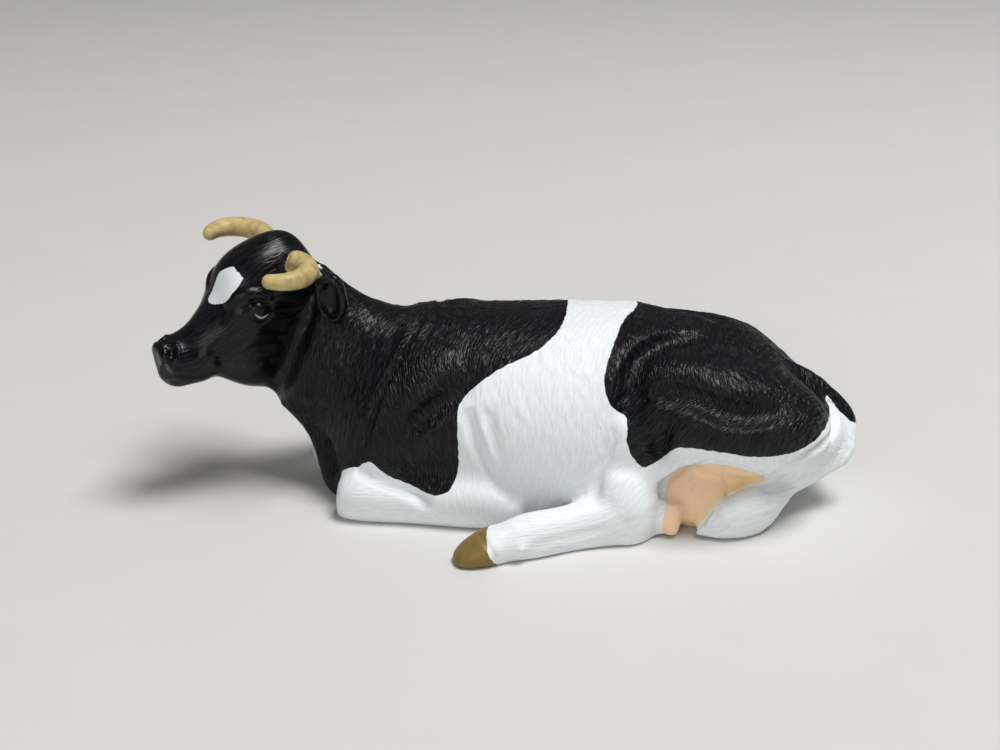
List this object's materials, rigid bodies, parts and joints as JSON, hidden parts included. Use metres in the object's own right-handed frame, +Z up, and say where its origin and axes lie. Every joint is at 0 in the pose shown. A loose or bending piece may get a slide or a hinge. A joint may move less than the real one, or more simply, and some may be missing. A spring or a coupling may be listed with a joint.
{
  "type": "cow figurine",
  "caption": "Black-and-white horned dairy cow lying down with its head turned to its left, a painted plastic figurine that rests on its flat underside.",
  "frame": {"origin": "on the flat underside of the torso, in the middle plane of the barrel, under the loins", "axes": "+X from the head towards the rump, +Y towards the cow's right side, +Z up"},
  "size_m": [0.1165, 0.0572, 0.0444],
  "materials": {
    "pied_hide": "white and black satin paint over a moulded hair texture",
    "black_hide": "black semi-gloss paint over a moulded hair texture",
    "white_hide": "white satin paint over a moulded hair texture",
    "horn": "tan semi-gloss paint, smooth",
    "udder": "peach semi-gloss paint, smooth"
  },
  "bodies": {
    "root": {"torso": "pied_hide", "neck": "black_hide", "head": "black_hide", "left_horn": "horn", "right_horn": "horn", "left_ear": "black_hide", "right_ear": "black_hide", "left_foreleg": "white_hide", "right_foreleg": "white_hide", "left_hind_leg": "white_hide", "right_hind_leg": "white_hide", "udder": "udder", "tail": "white_hide"}
  },
  "joints": []
}
